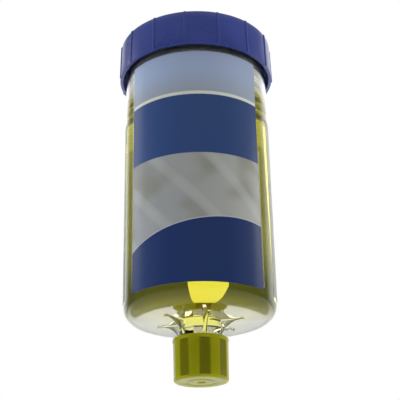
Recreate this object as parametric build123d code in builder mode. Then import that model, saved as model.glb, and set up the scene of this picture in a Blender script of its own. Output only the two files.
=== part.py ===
"""Automatic lubricator: a gas-driven oiler with a clear container and a G 1/4 outlet pointing down.

+Z is up and the axis of the container is Z. The origin is on the axis at the shoulder where the
outlet thread starts, and the middle of the front label faces -Y. All sizes are in millimetres.
"""
import os
from math import cos, radians, sin, sqrt, tan

from build123d import *

os.makedirs("parts", exist_ok=True)

# ------------------------------------------------------------------ clearances
push_gap = 0.15  # a moulding pushed into or over another one
run_gap = 0.05  # a shaft turning in its bearing, a seal in its groove
slide_gap = 0.10  # the piston in the barrel
thread_gap = 0.35  # between the plain outlines of the outlet thread and of the cap's thread
seat_gap = 0.10  # two faces that close on each other but part later
cap_seat_gap = 0.30  # between the closure cap's lip and the neck's shoulder
nest_gap = 1.9  # round the drive housing's cup inside the piston
nest_gap_below = 1.7  # under that cup

# ------------------------------------------------------------------ container
barrel_radius = 24.3
barrel_wall = 1.3
barrel_length = 96.2  # from the base plane to the rim
base_corner_radius = 4.5
base_wall = 1.2
base_sag = 0.1  # how far the base would bulge down at the axis
neck_length = 5.2  # from the shoulder up to the base plane
neck_shoulder = 0.22  # how far the neck stands out over the thread
thread_radius = 6.5785  # G 1/4 outside thread, over the crests
thread_length = 11.0
thread_chamfer = 0.9
outlet_radius = 4.0
funnel_depth = 2.0
ring_seat_step = 0.4  # the barrel is this much slimmer where the top ring sits on it
ring_seat_reach = 0.5  # how far the seat reaches below the ring
bead_height = 0.3
bead_width = 0.8
bead_drop = 2.4  # from the rim down to the top of the bead
fin_count = 6
fin_inset = 5.55  # how far the fins' tips stay inside the base's rounded corner
fin_thickness = 1.2
fin_foot = 0.5  # height of the fins' feet above the shoulder
fin_foot_width = 0.2
fin_tip_height = 0.35
fin_hollow = 1.5  # how deep the arc of a fin's edge is
fin_angle = -76.5  # the fin nearest the front

# ------------------------------------------------------------------ top ring
ring_height = 12.8
ring_overhang = 2.2  # how far the ring's lower edge stands out from the barrel
ring_draft = 1.2  # degrees, narrower towards the top
ring_skirt_wall = 1.2
ring_skirt_height = 5.0  # the part that hangs clear of the barrel
ring_top_thickness = 1.3
ring_lip_hold = 0.75  # how far the lip reaches over the dial cover
ring_rib_count = 15
ring_rib_radius = 0.55
ring_rib_proud = 0.3
ring_rib_angle = -94.7  # one rib
ring_edge = 0.4

# ------------------------------------------------------------------ drive housing and cover
housing_flange_thickness = 1.5
housing_plug_length = 11.4  # from the rim down to the underside of the plug
housing_plug_wall = 3.85
housing_cup_depth = 4.5  # below the underside of the plug
housing_cup_wall = 1.75
housing_floor = 1.5
board_shelf_height = 4.0  # above the underside of the plug
housing_seal_cord = 1.7
housing_seal_drop = 4.7  # from the rim down to the middle of the seal
gas_port_radius = 1.25
contact_room_depth = 1.0
cover_ledge = 1.35
cover_thickness = 1.8
cover_floor = 1.4
dial_well_depth = 2.5
dial_well_wall = 1.6
dial_boss_wall = 2.55
dial_boss_length = 2.1
tick_count = 12
tick_size = (0.6, 1.8, 0.25)
tick_gap = 1.5  # between the dial's well and its ticks

# ------------------------------------------------------------------ cells, board and contacts
pocket_rib = 0.7  # the wall left between two neighbouring cell pockets
cell_height = 5.4
cell_edge = 0.5
board_thickness = 1.2
chip_size = (6.0, 5.0, 1.5)
chip_inset = 2.3  # from the chip to the edge of the board
contact_width = 3.0
contact_thickness = 0.3
contact_reach = 6.6  # from a contact's inner end out to the middle of its cell
contact_tab = 3.0

# ------------------------------------------------------------------ time dial
dial_radius = 9.3
dial_height = 3.1
dial_edge = 0.5
dial_grip_count = 18
dial_grip_radius = 0.7
coin_slot = (13.0, 1.8, 1.4)
pointer_length = 2.4
shaft_radius = 3.0
shaft_overhang = 1.3  # below the boss
dial_seal_cord = 0.8
clip_thickness = 0.5
clip_width = 2.5
clip_groove_depth = 0.7
wiper_thickness = 0.25
wiper_hub_radius = 2.2
wiper_reach = 8.0
wiper_width = 1.6

# ------------------------------------------------------------------ piston
piston_clear = 0.3  # from the piston's rim up to the drive housing
piston_floor = 3.0
piston_wall = 4.4
piston_chamfer = 1.2
piston_recess_depth = 1.6
piston_hub_radius = 5.0
piston_rib_count = 10
piston_rib_width = 1.2
piston_seal_cord = 1.5
piston_seal_heights = (2.6, 7.0)  # above the piston's underside
piston_ridge_heights = (4.4, 5.2)
piston_ridge_width = 0.4
piston_ridge_depth = 0.4
groove_room = 0.6  # how much wider a seal groove is than its cord
seal_chamfer = 0.3  # a seal ring's bevels, as a share of its section

# ------------------------------------------------------------------ closure cap
cap_wall = 1.71
cap_draft = 0.6  # degrees, narrower towards the bottom
cap_lip_width = 0.17
cap_lip_height = 1.2
cap_lip_flare = 0.5  # height over which the side flares out to the lip
cap_lip_edge = 0.35
cap_floor = 1.7
cap_edge = 0.7
cap_flat_count = 8
cap_flat_depth = 0.23
cap_flat_margin = 0.8  # from the cap's bottom up to the flats
cap_flat_angle = -79.1
cap_seal_thickness = 0.8

# ------------------------------------------------------------------ labels
label_thickness = 0.12
label_gap_below = 1.1  # above the base's rounded corner
front_label_gap_above = 1.8  # below the top ring
front_label_half_angle = 55.0
rear_label_gap_above = 18.8
rear_label_angles = (72.5, 174.7)  # each rear label's two upright edges, from the front

# ------------------------------------------------------------------ worked-out places
rim_height = neck_length + barrel_length
bore_radius = barrel_radius - barrel_wall
corner_centre_radius = barrel_radius - base_corner_radius
corner_height = neck_length + base_corner_radius
floor_height = neck_length + base_wall
inner_corner_radius = base_corner_radius - barrel_wall
neck_radius = thread_radius + neck_shoulder
fin_tip_radius = corner_centre_radius - fin_inset
flange_top = rim_height + housing_flange_thickness
ring_top = flange_top + ring_top_thickness
ring_bottom = ring_top - ring_height
ring_radius = barrel_radius + ring_overhang
ring_top_radius = ring_radius - ring_height * tan(radians(ring_draft))
ring_skirt_bore_radius = ring_radius - ring_skirt_wall
seat_radius = barrel_radius - ring_seat_step
seat_bottom = ring_bottom - ring_seat_reach
ring_bore_radius = seat_radius + push_gap
plug_bottom = rim_height - housing_plug_length
plug_radius = bore_radius - push_gap
board_room_radius = plug_radius - housing_plug_wall
cover_radius = board_room_radius + cover_ledge
ring_lip_radius = cover_radius - ring_lip_hold
cup_bottom = plug_bottom - housing_cup_depth
piston_radius = bore_radius - slide_gap
piston_bore_radius = piston_radius - piston_wall
piston_bottom = cup_bottom - nest_gap_below - piston_floor
piston_height = plug_bottom - piston_clear - piston_bottom
housing_cup_radius = piston_bore_radius - nest_gap
pocket_floor = cup_bottom + housing_floor
cup_bore_radius = housing_cup_radius - housing_cup_wall
pocket_radius = (sqrt(2) * cup_bore_radius - pocket_rib) / (2 + sqrt(2))
cell_radius = pocket_radius - push_gap
cell_circle_radius = cup_bore_radius - pocket_radius
contact_start = cell_circle_radius - contact_reach
contact_room_radius = cell_circle_radius + cell_radius - 2 * cell_edge
board_shelf = plug_bottom + board_shelf_height
board_radius = board_room_radius - push_gap
board_top = board_shelf + board_thickness
cover_bottom = flange_top - cover_thickness
well_floor_top = flange_top - dial_well_depth
well_floor_bottom = well_floor_top - cover_floor
boss_bottom = well_floor_bottom - dial_boss_length
dial_well_radius = dial_radius + 2 * push_gap
tick_radius = dial_well_radius + dial_well_wall + tick_gap + tick_size[1] / 2
dial_bottom = well_floor_top + push_gap
dial_top = dial_bottom + dial_height
shaft_bottom = boss_bottom - shaft_overhang
shaft_bore_radius = shaft_radius + run_gap
dial_boss_radius = shaft_bore_radius + dial_boss_wall
dial_groove_radius = shaft_radius - dial_seal_cord
clip_groove_radius = shaft_radius - clip_groove_depth
clip_radius = clip_groove_radius + clip_width
clip_top = boss_bottom - seat_gap
dial_seal_height = (boss_bottom + well_floor_top) / 2
piston_groove_radius = piston_radius - piston_seal_cord
housing_groove_radius = plug_radius - housing_seal_cord
cap_top = -cap_seat_gap
cap_floor_top = -thread_length - seat_gap - cap_seal_thickness
cap_bottom = cap_floor_top - cap_floor
cap_bore_radius = thread_radius + thread_gap
cap_radius = cap_bore_radius + cap_wall
cap_lip_radius = cap_radius + cap_lip_width
cap_lip_bottom = cap_top - cap_lip_height
label_bottom = corner_height + label_gap_below
front_label_height = ring_bottom - front_label_gap_above - label_bottom
rear_label_height = ring_bottom - rear_label_gap_above - label_bottom
fin_step = 360 / fin_count


def base_height(radius, lift=0.0):
    """Height of the gently bulging base at a radius, plus a lift for the inner face."""
    return neck_length - base_sag * (1 - (radius / corner_centre_radius) ** 2) + lift


def radial_plane(angle):
    """Upright plane through the axis: its x runs outwards at the angle and its y runs up."""
    out = (cos(radians(angle)), sin(radians(angle)), 0)
    return Plane(origin=(0, 0, 0), x_dir=out, z_dir=(out[1], -out[0], 0))


def rings(radius_in, radius_out, low, high, mode=Mode.ADD):
    """Add or cut a plain ring between two radii and two heights."""
    with BuildSketch(Plane.XY.offset(low)) as outline:
        Circle(radius_out)
        if radius_in > 0:
            Circle(radius_in, mode=Mode.SUBTRACT)
    extrude(outline.sketch, amount=high - low, mode=mode)


def piston_hollow(height, gap):
    """The outline of the hollow under the piston: between hub and rim, without the stiffening ribs."""
    with BuildSketch(Plane.XY.offset(height)) as outline:
        Circle(piston_bore_radius - gap)
        Circle(piston_hub_radius + gap, mode=Mode.SUBTRACT)
        with PolarLocations(piston_bore_radius / 2, piston_rib_count):
            Rectangle(piston_bore_radius, piston_rib_width + 2 * gap, mode=Mode.SUBTRACT)
    return outline.sketch


def cap_side(height):
    """Radius of the closure cap's side at a height below its lip."""
    return cap_radius - (cap_lip_bottom - height) * tan(radians(cap_draft))


def seal_groove_width(cord):
    """Width of the groove that holds a seal ring."""
    return cord + groove_room


# ------------------------------------------------------------------ container
# One clear moulding: barrel, bulging base, neck, gusset fins and the outlet thread's plain outline.
with BuildPart() as container:
    with BuildSketch(Plane.XZ):
        with BuildLine():
            mid_radius = (neck_radius + corner_centre_radius) / 2
            mouth_radius = outlet_radius + funnel_depth
            inner_mid = (mouth_radius + corner_centre_radius) / 2
            outer_45 = base_corner_radius * sin(radians(45))
            inner_45 = inner_corner_radius * sin(radians(45))
            inner_corner_height = floor_height + inner_corner_radius
            bead_top = rim_height - bead_drop
            Polyline(
                (outlet_radius, base_height(mouth_radius, base_wall) - funnel_depth),
                (outlet_radius, -thread_length),
                (thread_radius, -thread_length),
                (thread_radius, 0),
                (neck_radius, 0),
                (neck_radius, base_height(neck_radius)),
            )
            ThreePointArc(
                (neck_radius, base_height(neck_radius)),
                (mid_radius, base_height(mid_radius)),
                (corner_centre_radius, neck_length),
            )
            ThreePointArc(
                (corner_centre_radius, neck_length),
                (corner_centre_radius + outer_45, corner_height - outer_45),
                (barrel_radius, corner_height),
            )
            Polyline(
                (barrel_radius, corner_height),
                (barrel_radius, seat_bottom),
                (seat_radius, seat_bottom),
                (seat_radius, bead_top - bead_width - 2 * bead_height),
                (seat_radius + bead_height, bead_top - bead_width - bead_height),
                (seat_radius + bead_height, bead_top - bead_height),
                (seat_radius, bead_top),
                (seat_radius, rim_height),
                (bore_radius, rim_height),
                (bore_radius, inner_corner_height),
            )
            ThreePointArc(
                (bore_radius, inner_corner_height),
                (corner_centre_radius + inner_45, inner_corner_height - inner_45),
                (corner_centre_radius, floor_height),
            )
            ThreePointArc(
                (corner_centre_radius, floor_height),
                (inner_mid, base_height(inner_mid, base_wall)),
                (mouth_radius, base_height(mouth_radius, base_wall)),
            )
            Line(
                (mouth_radius, base_height(mouth_radius, base_wall)),
                (outlet_radius, base_height(mouth_radius, base_wall) - funnel_depth),
            )
        make_face()
    revolve(axis=Axis.Z)
    thread_end = container.edges().filter_by(GeomType.CIRCLE).group_by(Axis.Z)[0].sort_by(SortBy.RADIUS)[-1]
    chamfer(thread_end, length=thread_chamfer)
    # Gusset fins between the neck and the base, buried a little in both.
    fin_root = neck_radius - base_wall / 2
    for fin_index in range(fin_count):
        with BuildSketch(radial_plane(fin_angle + fin_index * fin_step)):
            with BuildLine():
                SagittaArc(
                    (neck_radius + fin_foot_width, fin_foot),
                    (fin_tip_radius, base_height(fin_tip_radius) - fin_tip_height),
                    fin_hollow,
                )
                Polyline(
                    (fin_tip_radius, base_height(fin_tip_radius) - fin_tip_height),
                    (fin_tip_radius, base_height(fin_tip_radius) + base_wall / 2),
                    (fin_root, base_height(fin_root) + base_wall / 2),
                    (fin_root, fin_foot),
                    (neck_radius + fin_foot_width, fin_foot),
                )
            make_face()
        extrude(amount=fin_thickness / 2, both=True)

# ------------------------------------------------------------------ lubricant
# The oil fills the barrel below the piston, the hollow under it and the outlet down to its end.
with BuildPart() as lubricant:
    oil_radius = bore_radius - run_gap
    oil_floor = floor_height + run_gap
    oil_corner = inner_corner_radius
    oil_corner_45 = oil_corner * sin(radians(45))
    oil_mouth = outlet_radius + funnel_depth
    oil_mid = (oil_mouth + corner_centre_radius) / 2
    with BuildSketch(Plane.XZ):
        with BuildLine():
            Polyline(
                (oil_mouth, base_height(oil_mouth, base_wall) + run_gap),
                (outlet_radius - run_gap, base_height(oil_mouth, base_wall) - funnel_depth),
                (outlet_radius - run_gap, -thread_length),
                (0, -thread_length),
                (0, piston_bottom - run_gap),
                (oil_radius - piston_chamfer, piston_bottom - run_gap),
                (oil_radius, piston_bottom + piston_chamfer - run_gap),
                (oil_radius, oil_floor + oil_corner),
            )
            ThreePointArc(
                (oil_radius, oil_floor + oil_corner),
                (oil_radius - oil_corner + oil_corner_45, oil_floor + oil_corner - oil_corner_45),
                (oil_radius - oil_corner, oil_floor),
            )
            ThreePointArc(
                (oil_radius - oil_corner, oil_floor),
                (oil_mid, base_height(oil_mid, base_wall) + run_gap),
                (oil_mouth, base_height(oil_mouth, base_wall) + run_gap),
            )
        make_face()
    revolve(axis=Axis.Z)
    extrude(piston_hollow(piston_bottom - run_gap, run_gap), amount=piston_recess_depth)

# ------------------------------------------------------------------ piston
# A cup open upwards, so that the drive's cells nest in it when the container is full.
with BuildPart() as piston:
    rings(0, piston_radius, piston_bottom, piston_bottom + piston_height)
    piston_edges = piston.edges().filter_by(GeomType.CIRCLE).sort_by(Axis.Z)
    chamfer(piston_edges[0], length=piston_chamfer)
    chamfer(piston.edges().filter_by(GeomType.CIRCLE).sort_by(Axis.Z)[-1], length=piston_ridge_depth)
    rings(0, piston_bore_radius, piston_bottom + piston_floor, piston_bottom + piston_height, Mode.SUBTRACT)
    for seal_height in piston_seal_heights:
        half_width = seal_groove_width(piston_seal_cord) / 2
        middle = piston_bottom + seal_height
        rings(piston_groove_radius, barrel_radius, middle - half_width, middle + half_width, Mode.SUBTRACT)
    for ridge_height in piston_ridge_heights:
        middle = piston_bottom + ridge_height
        rings(
            piston_radius - piston_ridge_depth,
            barrel_radius,
            middle - piston_ridge_width / 2,
            middle + piston_ridge_width / 2,
            Mode.SUBTRACT,
        )
    extrude(piston_hollow(piston_bottom, 0), amount=piston_recess_depth, mode=Mode.SUBTRACT)


def seal_ring(inner_radius, outer_radius, height):
    """A seal ring of square section with bevelled corners, with a running gap to its groove and bore."""
    cord = outer_radius - inner_radius - 2 * run_gap
    with BuildPart() as ring:
        with BuildSketch(Plane.XZ) as section:
            with Locations(((inner_radius + outer_radius) / 2, height)):
                Rectangle(cord, cord)
            chamfer(section.vertices(), length=seal_chamfer * cord)
        revolve(axis=Axis.Z)
    return ring


piston_seal_lower = seal_ring(piston_groove_radius, bore_radius, piston_bottom + piston_seal_heights[0])
piston_seal_upper = seal_ring(piston_groove_radius, bore_radius, piston_bottom + piston_seal_heights[1])

# ------------------------------------------------------------------ drive housing
# Plugs the barrel, carries the cells in four pockets and leaves the board its shelf.
with BuildPart() as drive_housing:
    rings(0, plug_radius, plug_bottom, rim_height)
    rings(0, seat_radius, rim_height, flange_top)
    rings(0, housing_cup_radius, cup_bottom, plug_bottom)
    fillet(
        drive_housing.edges().filter_by(GeomType.CIRCLE).sort_by(Axis.Z)[0],
        radius=housing_floor / 2,
    )
    rings(0, cover_radius + push_gap, cover_bottom, flange_top, Mode.SUBTRACT)
    rings(0, board_room_radius, board_shelf, flange_top, Mode.SUBTRACT)
    rings(0, contact_room_radius, board_shelf - contact_room_depth, board_shelf, Mode.SUBTRACT)
    half_width = seal_groove_width(housing_seal_cord) / 2
    middle = rim_height - housing_seal_drop
    rings(housing_groove_radius, barrel_radius, middle - half_width, middle + half_width, Mode.SUBTRACT)
    with BuildSketch(Plane.XY.offset(pocket_floor)):
        with PolarLocations(cell_circle_radius, 4):
            Circle(pocket_radius)
    extrude(amount=board_shelf - pocket_floor, mode=Mode.SUBTRACT)
    # The two pockets on the Y axis hold the gas cells and let their gas out through a port.
    with BuildSketch(Plane.XY.offset(cup_bottom)):
        with PolarLocations(cell_circle_radius, 2, start_angle=90):
            Circle(gas_port_radius)
    extrude(amount=housing_floor, mode=Mode.SUBTRACT)

housing_seal = seal_ring(housing_groove_radius, bore_radius, rim_height - housing_seal_drop)


# ------------------------------------------------------------------ cells
def button_cell(angle, rim_step):
    """A button cell in its pocket: a can with rounded edges and a raised inner terminal."""
    centre = (cell_circle_radius * cos(radians(angle)), cell_circle_radius * sin(radians(angle)))
    with BuildPart() as cell:
        with BuildSketch(Plane.XY.offset(pocket_floor)):
            with Locations(centre):
                Circle(cell_radius)
        extrude(amount=cell_height - rim_step)
        chamfer(cell.edges().filter_by(GeomType.CIRCLE), length=cell_edge)
        with BuildSketch(Plane.XY.offset(pocket_floor + cell_height - rim_step)):
            with Locations(centre):
                Circle(cell_radius - 2 * cell_edge)
        extrude(amount=rim_step)
    return cell


gas_cells = [button_cell(angle, cell_edge) for angle in (90, 270)]
batteries = [button_cell(angle, cell_edge / 2) for angle in (0, 180)]

# ------------------------------------------------------------------ board, chip and contacts
with BuildPart() as circuit_board:
    rings(0, board_radius, board_shelf, board_top)

with BuildPart() as control_chip:
    with BuildSketch(Plane.XY.offset(board_top)):
        with Locations((0, board_radius - chip_inset - chip_size[1] / 2)):
            Rectangle(chip_size[0], chip_size[1])
    extrude(amount=chip_size[2])
    chamfer(control_chip.faces().sort_by(Axis.Z)[-1].edges(), length=contact_thickness)


def cell_contact(angle):
    """A sprung strip from the board's underside down to the top of a cell."""
    cell_top = pocket_floor + cell_height
    bend = contact_start + contact_tab
    landing = cell_circle_radius - contact_tab / 2
    with BuildPart() as contact:
        with BuildSketch(radial_plane(angle)):
            with BuildLine():
                Polyline(
                    (contact_start, board_shelf),
                    (bend, board_shelf),
                    (landing, cell_top + contact_thickness),
                    (cell_circle_radius, cell_top + contact_thickness),
                    (cell_circle_radius, cell_top),
                    (landing - contact_thickness / 2, cell_top),
                    (bend - contact_thickness / 2, board_shelf - contact_thickness),
                    (contact_start, board_shelf - contact_thickness),
                    close=True,
                )
            make_face()
        extrude(amount=contact_width / 2, both=True)
    return contact


cell_contacts = [cell_contact(angle) for angle in (0, 90, 180, 270)]

# ------------------------------------------------------------------ dial cover
# Closes the drive housing: a disc with a well for the dial and a bearing boss under it.
with BuildPart() as dial_cover:
    rings(0, cover_radius, cover_bottom, flange_top)
    rings(0, dial_well_radius + dial_well_wall, well_floor_bottom, cover_bottom)
    rings(0, dial_boss_radius, boss_bottom, well_floor_bottom)
    rings(0, dial_well_radius, well_floor_top, flange_top, Mode.SUBTRACT)
    rings(0, shaft_bore_radius, boss_bottom, well_floor_top, Mode.SUBTRACT)
    with BuildSketch(Plane.XY.offset(flange_top)):
        with PolarLocations(tick_radius, tick_count, start_angle=-90):
            Rectangle(tick_size[1], tick_size[0])
    extrude(amount=tick_size[2])

# ------------------------------------------------------------------ time dial
# The knob and its shaft are one moulding. The pointer rests at the front, at off.
with BuildPart() as time_dial:
    rings(0, dial_radius, dial_bottom, dial_top)
    chamfer(time_dial.edges().filter_by(GeomType.CIRCLE).sort_by(Axis.Z)[-1], length=dial_edge)
    with BuildSketch(Plane.XY.offset(dial_bottom)):
        with PolarLocations(dial_radius + dial_grip_radius / 3, dial_grip_count, start_angle=-80):
            Circle(dial_grip_radius)
    extrude(amount=dial_height, mode=Mode.SUBTRACT)
    with BuildSketch(Plane.XY.offset(dial_top)):
        with Locations((0, 0)):
            SlotOverall(coin_slot[0], coin_slot[1], rotation=90)
    extrude(amount=-coin_slot[2], mode=Mode.SUBTRACT)
    with BuildSketch(Plane.XY.offset(dial_top)):
        with Locations((0, pointer_length / 2 - dial_radius + dial_edge)):
            Triangle(a=pointer_length, b=pointer_length, c=pointer_length, rotation=180)
    extrude(amount=-coin_slot[2] / 4, mode=Mode.SUBTRACT)
    rings(0, shaft_radius, shaft_bottom, dial_bottom)
    seal_half = (dial_seal_cord + push_gap) / 2
    rings(
        dial_groove_radius,
        dial_boss_radius,
        dial_seal_height - seal_half,
        dial_seal_height + seal_half,
        Mode.SUBTRACT,
    )
    rings(
        clip_groove_radius,
        dial_boss_radius,
        clip_top - clip_thickness - run_gap,
        clip_top + run_gap,
        Mode.SUBTRACT,
    )

dial_seal = seal_ring(dial_groove_radius, shaft_bore_radius, dial_seal_height)

# A split ring that snaps into the shaft's groove under the boss.
with BuildPart() as dial_clip:
    rings(clip_groove_radius + run_gap, clip_radius, clip_top - clip_thickness, clip_top)
    with BuildSketch(Plane.XY.offset(clip_top - clip_thickness)):
        with Locations((0, clip_radius)):
            Rectangle(shaft_radius, 2 * clip_radius)
    extrude(amount=clip_thickness, mode=Mode.SUBTRACT)

# The wiper turns with the shaft just above the board's contact tracks.
with BuildPart() as selector_wiper:
    with BuildSketch(Plane.XY.offset(shaft_bottom - wiper_thickness)):
        Circle(wiper_hub_radius)
        with Locations((0, -wiper_reach / 2)):
            Rectangle(wiper_width, wiper_reach)
    extrude(amount=wiper_thickness)

# ------------------------------------------------------------------ top ring
# A ribbed gripping ring that snaps over the barrel's bead and holds the housing and its cover.
with BuildPart() as top_ring:
    with BuildSketch(Plane.XY.offset(ring_bottom)):
        Circle(ring_radius)
        with PolarLocations(
            ring_radius + ring_rib_proud - ring_rib_radius, ring_rib_count, start_angle=ring_rib_angle
        ):
            Circle(ring_rib_radius)
    extrude(amount=ring_height, taper=ring_draft)
    # The top edge is bevelled all round, across the ribs as well.
    bevel_width = ring_radius + ring_rib_radius - ring_top_radius + ring_edge
    with BuildSketch(Plane.XZ):
        with BuildLine():
            Polyline(
                (ring_top_radius - ring_edge, ring_top),
                (ring_top_radius - ring_edge + bevel_width, ring_top),
                (ring_top_radius - ring_edge + bevel_width, ring_top - bevel_width),
                close=True,
            )
        make_face()
    revolve(axis=Axis.Z, mode=Mode.SUBTRACT)
    rings(0, ring_bore_radius, ring_bottom, flange_top, Mode.SUBTRACT)
    rings(0, ring_skirt_bore_radius, ring_bottom, ring_bottom + ring_skirt_height, Mode.SUBTRACT)
    rings(0, ring_lip_radius, flange_top, ring_top, Mode.SUBTRACT)
    bead_middle = rim_height - bead_drop - bead_width / 2 - bead_height
    rings(
        0,
        seat_radius + bead_height + push_gap,
        bead_middle - bead_width,
        bead_middle + bead_width,
        Mode.SUBTRACT,
    )

# ------------------------------------------------------------------ closure cap
# Screwed over the outlet for storage, with eight shallow flats to grip it by.
with BuildPart() as outlet_cap:
    with BuildSketch(Plane.XZ):
        with BuildLine():
            Polyline(
                (0, cap_bottom),
                (cap_side(cap_bottom), cap_bottom),
                (cap_radius, cap_lip_bottom),
                (cap_lip_radius, cap_lip_bottom + cap_lip_flare),
                (cap_lip_radius, cap_top),
                (0, cap_top),
                close=True,
            )
        make_face()
    revolve(axis=Axis.Z)
    fillet(outlet_cap.edges().filter_by(GeomType.CIRCLE).sort_by(Axis.Z)[0], radius=cap_edge)
    fillet(outlet_cap.edges().filter_by(GeomType.CIRCLE).sort_by(Axis.Z)[-1], radius=cap_lip_edge)
    flat_low = cap_bottom + cap_flat_margin
    for flat_index in range(cap_flat_count):
        with BuildSketch(radial_plane(cap_flat_angle + flat_index * 360 / cap_flat_count)):
            with BuildLine():
                Polyline(
                    (cap_side(flat_low) - cap_flat_depth, flat_low),
                    (cap_lip_radius, flat_low),
                    (cap_lip_radius, cap_lip_bottom),
                    (cap_radius - cap_flat_depth, cap_lip_bottom),
                    close=True,
                )
            make_face()
        extrude(amount=cap_radius / 2, both=True, mode=Mode.SUBTRACT)
    rings(0, cap_bore_radius, cap_floor_top, cap_top, Mode.SUBTRACT)

with BuildPart() as cap_seal:
    rings(0, cap_bore_radius - push_gap, cap_floor_top, cap_floor_top + cap_seal_thickness)


# ------------------------------------------------------------------ labels
def label_strip(from_angle, to_angle, height):
    """A thin label on the barrel between two angles, measured from the front towards +X."""
    outer = barrel_radius + label_thickness
    start = from_angle - 90
    sweep = to_angle - from_angle
    with BuildPart() as label:
        with BuildSketch(Plane.XY.offset(label_bottom)):
            with BuildLine():
                outside = CenterArc((0, 0), outer, start, sweep)
                inside = CenterArc((0, 0), barrel_radius, start, sweep)
                Line(outside @ 0, inside @ 0)
                Line(outside @ 1, inside @ 1)
            make_face()
        extrude(amount=height)
    return label


front_label = label_strip(-front_label_half_angle, front_label_half_angle, front_label_height)
rear_label_right = label_strip(rear_label_angles[0], rear_label_angles[1], rear_label_height)
rear_label_left = label_strip(-rear_label_angles[1], -rear_label_angles[0], rear_label_height)

# ------------------------------------------------------------------ write the pieces
pieces = {
    "container": container,
    "lubricant": lubricant,
    "piston": piston,
    "piston_seal_lower": piston_seal_lower,
    "piston_seal_upper": piston_seal_upper,
    "drive_housing": drive_housing,
    "housing_seal": housing_seal,
    "gas_cell_1": gas_cells[0],
    "gas_cell_2": gas_cells[1],
    "battery_1": batteries[0],
    "battery_2": batteries[1],
    "circuit_board": circuit_board,
    "control_chip": control_chip,
    "cell_contact_1": cell_contacts[0],
    "cell_contact_2": cell_contacts[1],
    "cell_contact_3": cell_contacts[2],
    "cell_contact_4": cell_contacts[3],
    "dial_cover": dial_cover,
    "time_dial": time_dial,
    "dial_seal": dial_seal,
    "dial_clip": dial_clip,
    "selector_wiper": selector_wiper,
    "top_ring": top_ring,
    "outlet_cap": outlet_cap,
    "cap_seal": cap_seal,
    "front_label": front_label,
    "rear_label_right": rear_label_right,
    "rear_label_left": rear_label_left,
}
for name, piece in pieces.items():
    piece.part.label = name
    export_step(piece.part, f"parts/{name}.step")
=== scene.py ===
"""Looks of a gas-driven automatic lubricator: a clear oil-filled barrel under a ribbed blue ring.

Lengths are in millimetres here and become metres in the meshes. Heights count from the shoulder where the
outlet's thread starts, and the barrel stands on the Z axis.
"""

import logging
import math
from collections.abc import Callable, Sequence
from dataclasses import dataclass, field
from enum import Enum

import bmesh
import bpy
from mathutils import Euler, Matrix, Vector


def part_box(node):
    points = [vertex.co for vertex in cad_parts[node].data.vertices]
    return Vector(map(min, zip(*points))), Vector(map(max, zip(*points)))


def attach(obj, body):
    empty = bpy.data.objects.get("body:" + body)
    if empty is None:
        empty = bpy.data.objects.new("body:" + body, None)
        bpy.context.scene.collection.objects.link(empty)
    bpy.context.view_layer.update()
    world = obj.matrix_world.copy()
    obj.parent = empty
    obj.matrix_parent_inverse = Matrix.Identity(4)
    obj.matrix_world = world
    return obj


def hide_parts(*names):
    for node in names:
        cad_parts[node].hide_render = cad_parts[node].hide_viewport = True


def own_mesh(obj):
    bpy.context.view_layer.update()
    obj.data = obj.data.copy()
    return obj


MM = 0.001
WHITE = (1.0, 1.0, 1.0, 1.0)
SMOOTH = {"interpolation_type": "SMOOTHSTEP"}
Colour = tuple[float, float, float, float]
Outline = list[tuple[float, float]]
Socket = bpy.types.NodeSocket
log = logging.getLogger("lubricator")
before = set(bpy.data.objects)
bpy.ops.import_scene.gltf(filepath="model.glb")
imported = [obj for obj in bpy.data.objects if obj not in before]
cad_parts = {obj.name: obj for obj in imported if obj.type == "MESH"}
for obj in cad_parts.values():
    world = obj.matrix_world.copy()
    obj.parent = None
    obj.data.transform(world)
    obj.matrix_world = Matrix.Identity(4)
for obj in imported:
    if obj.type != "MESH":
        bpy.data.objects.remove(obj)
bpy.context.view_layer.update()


# ------------------------------------------------------------------ colours and nodes
def linear(code: str) -> Colour:
    """Turn a hex sRGB colour into the linear colour that shaders take.

    Args:
        code: Six hex digits with or without a leading hash.

    Returns:
        Red, green, blue and a full alpha, linear.
    """
    digits = code.lstrip("#")
    channels = [int(digits[i : i + 2], 16) / 255 for i in (0, 2, 4)]
    red, green, blue = (c / 12.92 if c <= 0.04045 else ((c + 0.055) / 1.055) ** 2.4 for c in channels)
    return red, green, blue, 1.0


def shade(colour: Colour, factor: float) -> Colour:
    """Darken or lighten a linear colour, up to full white."""
    return tuple(min(1.0, channel * factor) for channel in colour[:3]) + (1.0,)


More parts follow.
